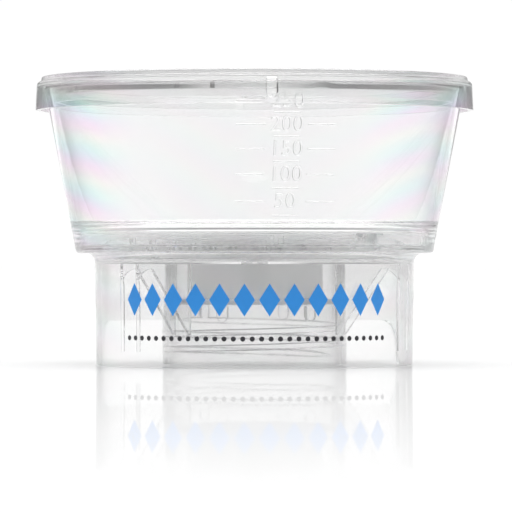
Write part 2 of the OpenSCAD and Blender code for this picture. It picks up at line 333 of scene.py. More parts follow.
membrane_white = fibrous("cast membrane", (0.995, 0.995, 0.99), 9000.0, 0.01, 0.5, 0.75)
drain_white = fibrous("drain fabric", (0.99, 0.99, 0.99), 2600.0, 0.05, 0.5)
cotton_white = fibrous("packed cotton", (0.92, 0.92, 0.9), 3500.0, 0.15, 0.3)
silicone, net, shader = new_material(
    "milky silicone", Transmission_Weight=0.6, IOR=1.41, Base_Color=(0.92, 0.93, 0.94, 1.0))
drive(net, shader, "Roughness", noise(net, object_place(net), 400.0) * 0.1 + 0.3)
print("made", membrane_white.name, drain_white.name, cotton_white.name, silicone.name)

# %% [markdown]
# ## Printing inks
# The skirt is pad printed. The ink lies a few hundredths of a millimetre thick, a little glossy,
# and covers almost evenly, with a faint mottle where the pad lifted.

# %% Two inks
MOTTLE = 0.1


def ink(name, colour):
    material, net, shader = new_material(name, Roughness=0.35)
    cover = noise(net, object_place(net), 900.0, 3.0) * MOTTLE + (1.0 - MOTTLE / 2)
    mottled = net.add("ShaderNodeVectorMath", {"operation": "SCALE"}, {0: colour, "Scale": cover})
    drive(net, shader, "Base Color", mottled)
    return material


blue_ink = ink("blue ink", (0.028, 0.3, 0.82))
dark_ink = ink("dark ink", (0.03, 0.03, 0.036))
print("made", blue_ink.name, dark_ink.name)

# %% [markdown]
# ## Turned bodies
# Lid, funnel and base are mostly bodies of revolution, so each starts as one outline turned round
# the axis. A mould never has a dead sharp edge: `soften` gives every corner a small radius, which
# is what catches the light along each rim of a clear part.

# %% Outlines and turning
EDGE = 0.12
STEPS = 180
AIR = 0.03
SIDE_SHARE, NEARLY_STRAIGHT, ARC_RISE = 0.4, 20, 0.41
MAIN_AXIS = ((0, 0, 0), (0, 0, 1), STEPS)


def arc(r, z, radius, start, end, steps=6):
    angles = [math.radians(start + (end - start) * i / steps) for i in range(steps + 1)]
    return [(r + radius * math.cos(a), z + radius * math.sin(a)) for a in angles]


def soften(outline, radius=EDGE):
    """Rounds each clear corner off the axis with three points on a small radius."""
    soft = []
    for before, here, after in zip(outline[-1:] + outline[:-1], outline, outline[1:] + outline[:1]):
        back, on = Vector(before) - Vector(here), Vector(after) - Vector(here)
        trim = min(radius, SIDE_SHARE * back.length, SIDE_SHARE * on.length)
        turn = math.pi - back.angle(on)
        if here[0] < 1e-6 or turn < math.radians(NEARLY_STRAIGHT):
            soft.append(here)
            continue
        start, end = Vector(here) + back.normalized() * trim, Vector(here) + on.normalized() * trim
        middle = (start + end) / 2 + (Vector(here) - (start + end) / 2) * ARC_RISE
        soft += [tuple(start), tuple(middle), tuple(end)]
    return soft


def rectangle(x0, x1, z0, z1):
    return [(x0, z0), (x1, z0), (x1, z1), (x0, z1)]


def mesh_from(name, bm):
    bmesh.ops.recalc_face_normals(bm, faces=bm.faces)
    mesh = bpy.data.meshes.new(name)
    bm.to_mesh(mesh)
    bm.free()
    return new_object(name, mesh)


def turned(name, outline, steps=STEPS):
    """A closed body of revolution from the (radius, height) points of its outline, in millimetres."""
    bm = bmesh.new()
    round_by = [2 * math.pi * i / steps for i in range(steps)]
    rings = []
    for r, z in outline:
        turns = round_by if r > 1e-6 else [0.0]
        rings.append([bm.verts.new((r * math.cos(a) * MM, r * math.sin(a) * MM, z * MM))
                      for a in turns])
    for low, high in zip(rings, rings[1:] + rings[:1]):
        if len(low) == len(high) == 1:
            continue
        for i in range(steps):
            j = (i + 1) % steps
            corners = low[i % len(low)], low[j % len(low)], high[j % len(high)], high[i % len(high)]
            bm.faces.new(list(dict.fromkeys(corners)))
    return mesh_from(name, bm)


def slab(name, outline, thickness, middle=0.0, front_outline=None):
    """An outline of (x, z) points made `thickness` deep along y, about y = middle.

    With a front outline of as many points, the slab runs from one shape to the other."""
    bm = bmesh.new()
    near, far = middle - thickness / 2, middle + thickness / 2
    front = [bm.verts.new((x * MM, near * MM, z * MM)) for x, z in front_outline or outline]
    back = [bm.verts.new((x * MM, far * MM, z * MM)) for x, z in outline]
    bm.faces.new(front)
    bm.faces.new(back[::-1])
    for i in range(len(outline)):
        j = (i + 1) % len(outline)
        bm.faces.new((front[j], front[i], back[i], back[j]))
    return mesh_from(name, bm)


# %% [markdown]
# ## Joining and cutting
# What isn't round is joined to the turned body or cut from it while both are still closed solids.
# One closed skin matters more here than on an opaque part: any face left inside would bend the
# light a second time. An empty or inside-out tool gives no error, it only spoils the result, so
# each tool's volume is measured first. Every cutter runs `OVER` millimetres past what it cuts.

# %% Boolean steps
OVER = 1.0


def solid_volume(piece):
    """The volume in cubic millimetres, after checking that the mesh is one closed skin."""
    bm = bmesh.new()
    bm.from_mesh(piece.data)
    gaps = sum(len(edge.link_faces) != 2 for edge in bm.edges)
    volume = bm.calc_volume(signed=True) / MM ** 3
    bm.free()
    assert gaps == 0 and volume > 0, f"{piece.name}: {gaps} open edges, volume {volume:.1f}"
    return volume


def combine(body, operation, tools):
    for tool in tools:
        solid_volume(tool)
        step = body.modifiers.new(operation, "BOOLEAN")
        step.operation, step.solver, step.object = operation, "MANIFOLD", tool
    settle(body)
    for tool in tools:
        bpy.data.objects.remove(tool)
    return body


def join(body, *parts):
    return combine(body, "UNION", parts)


def cut(body, *tools):
    return combine(body, "DIFFERENCE", tools)


def move(piece, matrix):
    piece.data.transform(matrix)
    return piece


def about_z(degrees):
    return Matrix.Rotation(math.radians(degrees), 4, "Z")


def along_y(height):
    """Lays a body turned about z along +y, at a height in millimetres."""
    return Matrix.Translation((0, 0, height * MM)) @ Matrix.Rotation(math.radians(-90), 4, "X")


# %% [markdown]
# ## Smooth shading that stays true
# A round wall is made of flat facets. Each facet's own normal points along the radius at its
# middle, so turning that normal to the radius at every corner gives the exact normal of the round
# wall. Facets within 28 degrees of each other then share a corner's normal by area. Refraction
# shows the smallest error, and this leaves none.

# %% Exact normals
FACET_FIT, LEAST_RADIAL, SHARE_ANGLE = 1.1, 0.02, 28


def facing(centres, normals, corners, face_of, axis, steps):
    """Corner normals of facets that belong to a wall round an axis, and which facets do."""
    origin, along = (np.array(v, float) for v in axis)
    side = np.cross(along, (0.3, 0.5, 0.81))
    side /= np.linalg.norm(side)
    other = np.cross(along, side)

    def angle(v):
        return np.arctan2(v @ other, v @ side)

    radial = np.hypot(normals @ side, normals @ other)
    out = centres - origin
    inward = (out @ side) * (normals @ side) + (out @ other) * (normals @ other) < 0
    facet = angle(normals) + np.where(inward, np.pi, 0)
    lag = angle(corners - origin) - facet[face_of]
    lag = (lag + np.pi) % (2 * np.pi) - np.pi
    worst = np.zeros(len(normals))
    np.maximum.at(worst, face_of, np.abs(lag))
    belongs = (worst < FACET_FIT * np.pi / steps) & (radial > LEAST_RADIAL)
    turn = np.where(belongs[face_of], lag, 0.0)[:, None]
    n = normals[face_of]
    rise = (n @ along)[:, None] * along
    return rise + (n - rise) * np.cos(turn) + np.cross(along, n) * np.sin(turn), belongs


def true_normals(piece, axes=(MAIN_AXIS,)):
    mesh = piece.data
    mesh.polygons.foreach_set("use_smooth", np.ones(len(mesh.polygons), bool))
    points = np.empty(len(mesh.vertices) * 3)
    mesh.vertices.foreach_get("co", points)
    vertex_of = np.empty(len(mesh.loops), int)
    mesh.loops.foreach_get("vertex_index", vertex_of)
    sides = np.empty(len(mesh.polygons), int)
    mesh.polygons.foreach_get("loop_total", sides)
    centres, normals, area = (np.empty(len(mesh.polygons) * k) for k in (3, 3, 1))
    mesh.polygons.foreach_get("center", centres)
    mesh.polygons.foreach_get("normal", normals)
    mesh.polygons.foreach_get("area", area)
    centres, normals = centres.reshape(-1, 3), normals.reshape(-1, 3)
    face_of = np.repeat(np.arange(len(sides)), sides)
    corners = points.reshape(-1, 3)[vertex_of]
    result, taken = normals[face_of].copy(), np.zeros(len(sides), bool)
    for origin, along, steps in axes:
        turned_to, belongs = facing(centres, normals, corners, face_of, (origin, along), steps)
        fresh = (belongs & ~taken)[face_of]
        result[fresh] = turned_to[fresh]
        taken |= belongs
    order = np.argsort(vertex_of, kind="stable")
    total, weight = result * area[face_of][:, None], area[face_of][:, None]
    for shift in range(1, int(np.bincount(vertex_of).max())):
        one, two = order[:-shift], order[shift:]
        same = vertex_of[one] == vertex_of[two]
        one, two = one[same], two[same]
        near = (result[one] * result[two]).sum(1) > math.cos(math.radians(SHARE_ANGLE))
        one, two = one[near], two[near]
        total[one] += result[two] * weight[two]
        total[two] += result[one] * weight[one]
    total /= np.maximum(np.linalg.norm(total, axis=1, keepdims=True), 1e-20)
    mesh.normals_split_custom_set(total)
    return piece


# %% [markdown]
# ## Recipes shared by several pieces
# Copies round the axis serve the vents, channels, guides and gussets. `wrapped` bends anything flat
# round a cone, keeping lengths along the wall: that is how a mould's engraving follows the wall.

# %% Copies round the axis, and bending round a cone
SIX = dict(count=6, turn=math.radians(60), first=math.radians(30))


def round_the_axis(net, tool, count, turn, first):
    angle = net.add("GeometryNodeInputIndex") * turn + first
    spin = net.add("FunctionNodeAxisAngleToRotation", {}, {"Angle": angle})
    points = net.add("GeometryNodePoints", {}, {"Count": count})
    return net.add("GeometryNodeInstanceOnPoints", {}, {
        "Points": points, "Instance": tool, "Rotation": spin})


def wrapped(net, flat, radius_at_0, slope):
    """Takes x as the way round, -y as the way out and z as the height."""
    place = net.add("GeometryNodeInputPosition")
    x, y, z = parts_of(net, place)
    wall = radius_at_0 + z * slope
    angle, radius = x / wall, wall - y
    bent = net.add("ShaderNodeCombineXYZ", {}, {
        "X": radius * angle.of("SINE"), "Y": radius * angle.of("COSINE") * -1.0, "Z": z})
    return net.add("GeometryNodeSetPosition", {}, {"Geometry": flat, "Position": bent})


print("recipes ready")

# %% [markdown]
# ## Lid
# The lid is one moulding that only rests on the rim. Its edge carries a raised bead for stacking,
# a plug ring hangs inside the rim, and the gate left a small lens in the middle of the panel. Two
# notches in the skirt let air in while the filter draws. The front one has a chamfer round its
# mouth. The one behind is left plain, so that less of it shows through the clear lid.

# %% Lid
GATE_R, GATE_H, GATE_CROWN = 3.4, 0.5, 0.7
PANEL_T, PANEL_DROP = 1.5, 1.75
LID_WALL, LID_GAP, LID_DRAFT, LID_WEB = 1.45, 0.65, 0.3, 1.7
BEAD_INSET, BEAD_W, BEAD_EDGE = 1.2, 1.7, 0.5
PLUG_GAP, PLUG_WALL, PLUG_H = 1.1, 1.3, 2.0
FUNNEL_WALL = 1.8
VENT_W, VENT_H, LID_TURN = 2.5, 4.2, -4.4
MOUTH_W, MOUTH_DEPTH, MOUTH_INSET = 0.35, 1.0, 0.1
LID_CORNER, DOME_STEPS = 1, 6


def lid_outline():
    inner = rim_r + LID_GAP
    outer = inner + LID_WALL
    panel, web = rim_z - PANEL_DROP, rim_z + LID_WEB
    plug_out = rim_r - FUNNEL_WALL - PLUG_GAP
    plug_in = plug_out - PLUG_WALL
    bead = outer - BEAD_INSET
    rest = rim_z + AIR
    bead_z = lid_top - BEAD_EDGE
    return (dome(panel, -GATE_H)[::-1] + [(plug_in, panel),
             (plug_in, panel - PLUG_H), (plug_out, panel - PLUG_H), (plug_out, rest), (inner, rest),
             (inner + LID_DRAFT, lid_low), (outer + LID_DRAFT, lid_low)]
            + arc(outer - LID_CORNER, web - LID_CORNER, LID_CORNER, 0, 90)
            + arc(bead - BEAD_EDGE, bead_z, BEAD_EDGE, 0, 90)
            + arc(bead - BEAD_W + BEAD_EDGE, bead_z, BEAD_EDGE, 90, 180)
            + [(bead - BEAD_W, web), (plug_in, web), (plug_in, panel + PANEL_T)]
            + dome(panel + PANEL_T, GATE_CROWN))


def dome(z, height):
    """The gate's lens on a flat panel, from its edge to the axis."""
    outward = [1 - i / DOME_STEPS for i in range(DOME_STEPS + 1)]
    return [(GATE_R * part, z + height * (1 - part ** 2)) for part in outward]


def vent_shape(wider=0.0):
    foot, top, half = rim_z - VENT_H + VENT_W / 2, rim_z + LID_WEB / 3 + wider, VENT_W / 2 + wider
    return arc(0, foot, half, 180, 360, 16) + [(half, top), (-half, top)]


def vent_cutters():
    """Both notches, and a flared mouth that leaves the front one's chamfer on the outside."""
    depth = LID_WALL + LID_GAP + OVER
    mouth = lid_r - MOUTH_INSET
    through = slab("vents", vent_shape(), depth, -(rim_r + LID_GAP / 2 + depth / 2))
    flare_out = slab("mouths", vent_shape(), 2 * MOUTH_DEPTH, -mouth, vent_shape(2 * MOUTH_W))
    placed = dict(turn=math.pi, first=math.radians(LID_TURN))
    return [grow(cutter.name, round_the_axis, cutter, count=count, **placed)
            for cutter, count in ((through, 2), (flare_out, 1))]


lid = turned("lid_shell", soften(lid_outline()))
lid = true_normals(cut(lid, *vent_cutters()))
print(f"lid: {len(lid.data.polygons)} faces, {solid_volume(lid):.0f} mm3")

# %% [markdown]
# ## Funnel
# The funnel is a cone of even wall with raised graduations. The height of each line isn't a
# free choice: it is where the cone holds that volume above the membrane, so the lines crowd
# together towards the top. The formula inverts the volume of a cone frustum.

# %% Funnel wall and graduation lines
WELD, LIP_WALL, BLEND_LOW, BLEND_HIGH = 0.05, 1.4, -0.5, 1.5
CUP_WALL = 1.6
RAISE, LINE_R, LONG, SHORT, NUMBER_W = 0.3, 0.2, 7.3, 6.6, 11.0
LINE_SIDES, LINE_PIECES, BLEND_STEPS, FUNNEL_EDGE = 16, 8, 8, 0.3
BITE = 0.4
ML, STEP_ML, MARKS = 1e-6, 50, 5
foot_r = cup_out_r
flare = (rim_r - foot_r) / (rim_z - seam_z)
cone_at_0 = foot_r - flare * seam_z


def inner_wall():
    """The inside from top to bottom: a straight cone that curves into the thicker lip."""
    lip_in = foot_r - CUP_WALL - WELD - LIP_WALL
    points = [(rim_r - FUNNEL_WALL, rim_z)]
    for i in range(BLEND_STEPS, -1, -1):
        part = i / BLEND_STEPS
        z = seam_z + BLEND_LOW + (BLEND_HIGH - BLEND_LOW) * part
        share = part * part * (3 - 2 * part)
        points.append((lip_in + (cone_at_0 + flare * z - FUNNEL_WALL - lip_in) * share, z))
    return points + [(lip_in, lip_low + AIR)]


def funnel_outline():
    lip_out, seat = foot_r - CUP_WALL - WELD, seam_z + AIR
    return [(lip_out, lip_low + AIR), (lip_out, seat), (foot_r, seat), (rim_r, rim_z)] + inner_wall()


def graduation_lines(net, _, count, step, first, length, side, wet, floor, slope):
    """One column of half-round lines, laid flat. Each height holds its volume on the cone."""
    volume = net.add("GeometryNodeInputIndex") * step + first
    height = ((wet ** 3.0 + volume * slope * 3.0 / math.pi) ** (1 / 3) - wet) / slope + floor
    middle = net.add("ShaderNodeCombineXYZ", {}, {"X": side, "Z": height})
    line = net.add("GeometryNodeMeshCylinder", {}, {
        "Vertices": LINE_SIDES, "Side Segments": LINE_PIECES, "Radius": LINE_R * MM, "Depth": length})
    lying = net.add("FunctionNodeAxisAngleToRotation", {}, {"Axis": (0, 1, 0), "Angle": math.pi / 2})
    points = net.add("GeometryNodePoints", {}, {"Count": count, "Position": middle})
    return net.add("GeometryNodeInstanceOnPoints", {}, {
        "Points": points, "Instance": line, "Rotation": lying})


def on_cone(piece):
    return grow(piece.name, wrapped, piece, radius_at_0=cone_at_0 * MM, slope=flare)


wet_r = (foot_r - FUNNEL_WALL - flare * (seam_z - lip_low)) * MM
column = dict(count=MARKS, step=STEP_ML * ML, wet=wet_r, floor=lip_low * MM, slope=flare)
aside = (NUMBER_W + LONG) / 2 * MM
layout = ((STEP_ML, LONG, -aside), (STEP_ML, LONG, aside), (STEP_ML / 2, SHORT, 0.0))
columns = [grow("lines", graduation_lines, first=first * ML, length=length * MM, side=side, **column)
           for first, length, side in layout]
funnel = turned("funnel_shell", soften(funnel_outline(), FUNNEL_EDGE))
funnel = join(funnel, *[on_cone(lines) for lines in columns])
print("funnel:", len(funnel.data.polygons), "faces with its lines")

# %% [markdown]
# ## Numbers
# The mould is engraved, so the numbers stand out from the wall in the same clear plastic. Each is
# drawn as text with rounded edges, made into a mesh, stood upright and bent round the cone with
# the same recipe.

# %% Raised numbers
NUMBER_SIZE, ROUNDING = 5.6, 0.12


def fill_height(volume):
    return ((wet_r ** 3 + 3 * flare * volume / math.pi) ** (1 / 3) - wet_r) / flare


def raised_number(text, z):
    curve = bpy.data.curves.new(text, "FONT")
    curve.body, curve.size, curve.align_x, curve.align_y = text, NUMBER_SIZE * MM, "CENTER", "CENTER"
    curve.extrude, curve.space_character = (RAISE + BITE - 2 * ROUNDING) / 2 * MM, 1.04
    curve.bevel_depth, curve.bevel_resolution, curve.offset = ROUNDING * MM, 1, -ROUNDING * MM
    label = new_object(text, curve)
    mesh = bpy.data.meshes.new_from_object(label.evaluated_get(bpy.context.evaluated_depsgraph_get()))
    bpy.data.objects.remove(label)
    bm = bmesh.new()
    bm.from_mesh(mesh)
    bmesh.ops.remove_doubles(bm, verts=bm.verts, dist=1e-7)
    bmesh.ops.triangulate(bm, faces=bm.faces)
    upright = Matrix.Rotation(math.radians(90), 4, "X")
    stand = Matrix.Translation((0, (BITE - RAISE) / 2 * MM, z)) @ upright
    bmesh.ops.transform(bm, matrix=stand, verts=bm.verts)
    return on_cone(mesh_from("number " + text, bm))


volumes = [STEP_ML * (i + 1) for i in range(MARKS)]
numbers = [raised_number(str(ml), lip_low * MM + fill_height(ml * ML)) for ml in volumes]
funnel = true_normals(join(funnel, *numbers))
print(f"funnel: {len(funnel.data.polygons)} faces with its numbers, {solid_volume(funnel):.0f} mm3")

# %% [markdown]
# ## Base
# One moulding does four jobs. The cup holds the membrane over drain rings, the skirt lets the
# filter stand on a bench, the collar screws onto the bottle, and the port leads to the pump. The
# outline runs once round all the walls, so they are one skin from the start.

# %% Base outline
FLANGE_Z, FLANGE_T, FLOOR_Z, FLOOR_T = 29.4, 2.2, 26.7, 1.6
CUP_DRAFT, CUP_EDGE, NECK_R = 1.15, 1.0, 2.4
SKIRT_TOP_R, SKIRT_FOOT_R, SKIRT_WALL = 42.15, 41.75, 1.5
BORE_R, CREST_R, COLLAR_WALL, COLLAR_LIFT = 22.8, 21.6, 1.5, 0.3
CHAMBER_R, CHAMBER_WALL = 16.5, 1.5
OUTLET_R, OUTLET_WALL, OUTLET_H = 2.2, 1.0, 6.5
RINGS, RING_W = 7, 1.0
SKIRT_IN_R = SKIRT_TOP_R - SKIRT_WALL
COLLAR_R = BORE_R + COLLAR_WALL


def drain_ring_outline():
    """The tops of the drain rings, from the rim of the cup inwards."""
    points = []
    flange_top, floor_top = FLANGE_Z + FLANGE_T, FLOOR_Z + FLOOR_T
    span, height, on_flange = disc_r - RING_W, screen_low - AIR, True
    for i in range(RINGS, 0, -1):
        inner = span * i / RINGS
        outer = inner + RING_W
        if on_flange and outer < SKIRT_IN_R:
            points += [(SKIRT_IN_R, flange_top), (SKIRT_IN_R, floor_top)]
            on_flange = False
        foot = flange_top if on_flange else floor_top
        points += [(outer, foot), (outer, height), (inner, height), (inner, foot)]
    return points


def base_outline():
    low_r = cup_out_r - CUP_DRAFT
    spout = OUTLET_R + OUTLET_WALL
    chamber_out = CHAMBER_R + CHAMBER_WALL
    return ([(OUTLET_R, FLOOR_Z - OUTLET_H), (spout, FLOOR_Z - OUTLET_H), (spout, FLOOR_Z),
             (CHAMBER_R, FLOOR_Z), (CHAMBER_R, seat_z), (chamber_out, seat_z), (chamber_out, FLOOR_Z),
             (BORE_R, FLOOR_Z), (BORE_R, COLLAR_LIFT), (COLLAR_R, COLLAR_LIFT), (COLLAR_R, FLOOR_Z),
             (SKIRT_IN_R, FLOOR_Z), (SKIRT_FOOT_R - SKIRT_WALL, 0), (SKIRT_FOOT_R, 0)]
            + arc(SKIRT_TOP_R + NECK_R, FLANGE_Z - NECK_R, NECK_R, 180, 90, 8)
            + arc(low_r - CUP_EDGE, FLANGE_Z + CUP_EDGE, CUP_EDGE, -90, 0)
            + [(cup_out_r, seam_z), (cup_out_r - CUP_WALL, seam_z),
               (cup_out_r - CUP_WALL, FLANGE_Z + FLANGE_T)]
            + drain_ring_outline() + [(OUTLET_R, FLOOR_Z + FLOOR_T)])


base = turned("base_shell", soften(base_outline()))
print("base:", len(base.data.polygons), "faces before its ribs, thread and port")

# %% [markdown]
# ## Thread
# The bottle thread is a single start of 4 mm pitch, a trapezoid that runs up inside the collar and
# fades out at both ends, as a real mould's thread does.

# %% Thread
PITCH, TURNS, THREAD_Z = 4.0, 2.45, 2.2
CREST_W, ROOT_W = 1.0, 2.0
SPIRAL_STEPS = 72


def thread_profile():
    out, depth = BITE, BORE_R - CREST_R
    points = [(out, ROOT_W / 2), (out, -ROOT_W / 2), (-depth, -CREST_W / 2), (-depth, CREST_W / 2)]
    mesh = bpy.data.meshes.new("thread profile")
    mesh.from_pydata([(x * MM, z * MM, 0) for x, z in points], [(i, (i + 1) % 4) for i in range(4)], [])
    return new_object("thread", mesh)


def thread(net, profile, turns, radius, rise, low):
    """Sweeps the profile up a spiral and shrinks it to nothing at both ends."""
    spiral = net.add("GeometryNodeCurveSpiral", {}, {
        "Resolution": SPIRAL_STEPS, "Rotations": turns, "Start Radius": radius, "End Radius": radius,
        "Height": rise * turns, "Reverse": True})
    upright = net.add("GeometryNodeSetCurveNormal", {"mode": "Z_UP"}, {"Curve": spiral})
    along = net.add("GeometryNodeSplineParameter")
    fade = along.within(0.0, 0.05) * (1.0 - along.within(0.95, 1.0)) * 0.98 + 0.02
    ring = net.add("GeometryNodeMeshToCurve", {}, {"Mesh": profile})
    swept = net.add("GeometryNodeCurveToMesh", {}, {
        "Curve": upright, "Profile Curve": ring, "Scale": fade, "Fill Caps": True})
    outward = net.add("GeometryNodeFlipFaces", {}, {"Mesh": swept})
    lift = net.add("ShaderNodeCombineXYZ", {}, {"Z": low})
    return net.add("GeometryNodeTransform", {}, {"Geometry": outward, "Translation": lift})


ridge = grow("thread", thread, thread_profile(), turns=TURNS, radius=BORE_R * MM, rise=PITCH * MM,
             low=THREAD_Z * MM)
low, high = (f([v.co.z for v in ridge.data.vertices]) / MM for f in (min, max))
print(f"thread: {len(ridge.data.polygons)} faces, from {low:.2f} to {high:.2f} mm")

# %% [markdown]
# ## Ribs, guides and port
# Two pairs of gussets brace the collar against the skirt, each with an arch at its outer end. Six
# round-footed guides centre the bottle. The barbed port is drilled through into the chamber.

# %% What is joined to the base
GUSSET_T, GUSSET_PITCH, GUSSET_ANGLE, GUSSET_FOOT = 1.2, 6.4, 60, 8.1
ARCH_R, ARCH_WEB, BEAD_FOOT, BEAD_RAISE, BEAD_RUN_OUT = 4.5, 1.3, 4.0, 0.6, 3.0
GUIDE_W, GUIDE_H, GASKET_T, GASKET_GAP = 2.8, 5.8, 1.5, 0.3
PORT_Z, PORT_STEPS = 22.3, 64
DUCT_R, SPIGOT_R, BARB_R, PORT_BORE_R = 3.8, 3.2, 4.3, 2.1
BARBS, BARB_L = 3, 3.0
PORT_AXIS = ((0, 0, PORT_Z * MM), (0, 1, 0), PORT_STEPS)


def gusset(offset):
    arch = FLOOR_Z - ARCH_WEB - ARCH_R
    top, inner, outer = FLOOR_Z + BITE, COLLAR_R - BITE, SKIRT_IN_R + BITE
    foot = SKIRT_FOOT_R - SKIRT_WALL
    web = ([(inner, top), (inner, GUSSET_FOOT), (COLLAR_R, GUSSET_FOOT)]
           + arc(SKIRT_IN_R - ARCH_R, arch, ARCH_R, 90, 0, 12) + [(outer, arch), (outer, top)])
    bead = [(SKIRT_IN_R - BEAD_RAISE, arch), (SKIRT_IN_R, arch + BEAD_RUN_OUT),
            (outer, arch + BEAD_RUN_OUT), (foot + BITE, BEAD_FOOT), (foot - BEAD_RAISE / 2, BEAD_FOOT)]
    place = offset * GUSSET_PITCH
    one = join(slab("gussets", web, GUSSET_T, place), slab("bead", bead, GUSSET_T, place))
    return grow("gussets", round_the_axis, one, count=2, turn=math.radians(2 * GUSSET_ANGLE),
                first=math.radians(-90 - GUSSET_ANGLE))


def guide():
    low, high = seat_z - GUIDE_H + GUIDE_W / 2, seat_z - GASKET_T - GASKET_GAP
    outline = arc(0, low, GUIDE_W / 2, 180, 360, 16) + [(GUIDE_W / 2, high), (-GUIDE_W / 2, high)]
    return slab("guides", outline, BORE_R + BITE - CREST_R, -(BORE_R + BITE + CREST_R) / 2)


def port():
    wall = SKIRT_TOP_R - SKIRT_WALL / 2
    outline = [(0, CHAMBER_R + BITE), (DUCT_R, CHAMBER_R + BITE), (DUCT_R, wall), (SPIGOT_R, wall)]
    for i in range(BARBS, 0, -1):
        start = port_tip - i * BARB_L
        outline += [(SPIGOT_R, start), (BARB_R, start)]
    outline += [(SPIGOT_R, port_tip), (0, port_tip)]
    return move(turned("port", soften(outline), PORT_STEPS), along_y(PORT_Z))


guides = grow("guides", round_the_axis, guide(), **SIX)
base = join(base, gusset(-0.5), gusset(0.5), guides, ridge, port())
print("base:", len(base.data.polygons), "faces with its ribs, thread and port")

# %% [markdown]
# ## Window, channels and bore
# The skirt is open at the back, so that the port's hose can be led out. Six channels let the
# filtrate run through the drain rings to the outlet. A shallow flat on the cup is where the
# mould's date insert sat.

# %% What is cut from the base
WINDOW_H, WINDOW_Y, WINDOW_R, SKIRT_CORNER_R = 11.4, 5.6, 9.4, 2.0
CHANNEL_W, CHANNEL_START = 2.4, 3.0
INSERT_W, INSERT_H, INSERT_DROP, INSERT_DEPTH, INSERT_ANGLE = 8.8, 2.1, 2.0, 0.35, 29


def window():
    """The window as it is seen from the side, kept clear of the collar."""
    far = SKIRT_TOP_R + OVER
    outline = ([(far, -OVER), (far, WINDOW_H)]
               + arc(WINDOW_Y + WINDOW_R, WINDOW_H - WINDOW_R, WINDOW_R, 90, 180, 16)
               + arc(WINDOW_Y - SKIRT_CORNER_R, SKIRT_CORNER_R, SKIRT_CORNER_R, 0, -90, 6)
               + [(WINDOW_Y - SKIRT_CORNER_R, -OVER)])
    middle_r = (COLLAR_R + SKIRT_FOOT_R) / 2
    core = rectangle(0, middle_r, -2 * OVER, WINDOW_H + OVER)
    return cut(move(slab("window", outline, 2 * far), about_z(90)), turned("core", core))


def insert_flat():
    high = seam_z - INSERT_DROP
    face = cup_out_r - CUP_DRAFT * INSERT_DROP / (seam_z - FLANGE_Z - CUP_EDGE) - INSERT_DEPTH
    outline = rectangle(-INSERT_W / 2, INSERT_W / 2, high - INSERT_H, high)
    return move(slab("insert", outline, OVER, -face - OVER / 2), about_z(INSERT_ANGLE))


channel = rectangle(CHANNEL_START, disc_r - RING_W, FLANGE_Z + FLANGE_T, screen_low + OVER)
channels = grow("channels", round_the_axis, slab("channels", channel, CHANNEL_W), **SIX)
bore = rectangle(0, PORT_BORE_R, OUTLET_R + OUTLET_WALL + OVER, port_tip + OVER)
base = cut(base, window(), channels, insert_flat(),
           move(turned("bore", bore, PORT_STEPS), along_y(PORT_Z)))
base = true_normals(base, (MAIN_AXIS, PORT_AXIS))
print(f"base: {len(base.data.polygons)} faces, {solid_volume(base):.0f} mm3")

# %% [markdown]
# ## Gasket, membrane, fabric and plug
# These pieces are stamped or packed, not moulded with the rest. The gasket lies under the seat, the
# membrane is clamped by the funnel's lip, the fabric keeps it off the drain rings, and the cotton
# keeps droplets out of the pump's hose.

# %% Loose pieces
GASKET_HOLE_R = 15.5
DISC_EDGE, GASKET_EDGE, COTTON_EDGE = 0.05, 0.25, 0.6


def disc(name, node):
    low, high, radius = reach(node)
    return true_normals(turned(name, soften(rectangle(0, radius, low + AIR, high - AIR), DISC_EDGE)))


gasket = rectangle(GASKET_HOLE_R, gasket_r, gasket_low, seat_z - AIR)
gasket = true_normals(turned("gasket_ring", soften(gasket, GASKET_EDGE)))
membrane, drain = disc("membrane_disc", "membrane"), disc("drain_disc", "drain_screen")
plug_low, plug_high = (corner[1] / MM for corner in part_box("port_plug"))
plug_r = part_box("port_plug")[1][0] / MM
plug = rectangle(0, plug_r, plug_low, plug_high)
plug = turned("cotton_plug", soften(plug, COTTON_EDGE), PORT_STEPS)
plug = true_normals(move(plug, along_y(PORT_Z)), (PORT_AXIS,))
print("loose pieces:", gasket.name, membrane.name, drain.name, plug.name)

# %% [markdown]
# ## Print on the skirt
# A plain band is printed on the skirt: a row of equal blue lozenges over a row of equal dark dots.
# Each row is one shape repeated by a recipe, as a thin layer of ink, then sliced finely enough to
# bend round the skirt without leaving it.

# %% Print
INK, INK_OFF = 0.04, 0.03
PRINT_MIDDLE = -5.8
LOZENGES, LOZENGE_PITCH, LOZENGE_W, LOZENGE_Z, LOZENGE_H = 12, 6.4, 5.4, 17.5, 8.4
DOTS, DOT_PITCH, DOT_R, DOT_Z = 32, 2.4, 0.65, 7.6
SLICE, SLICE_START = 1.0, 0.37


def in_a_row(net, shape, count, pitch, first):
    along = net.add("GeometryNodeInputIndex") * pitch + first
    place = net.add("ShaderNodeCombineXYZ", {}, {"X": along})
    points = net.add("GeometryNodePoints", {}, {"Count": count, "Position": place})
    return net.add("GeometryNodeInstanceOnPoints", {}, {"Points": points, "Instance": shape})


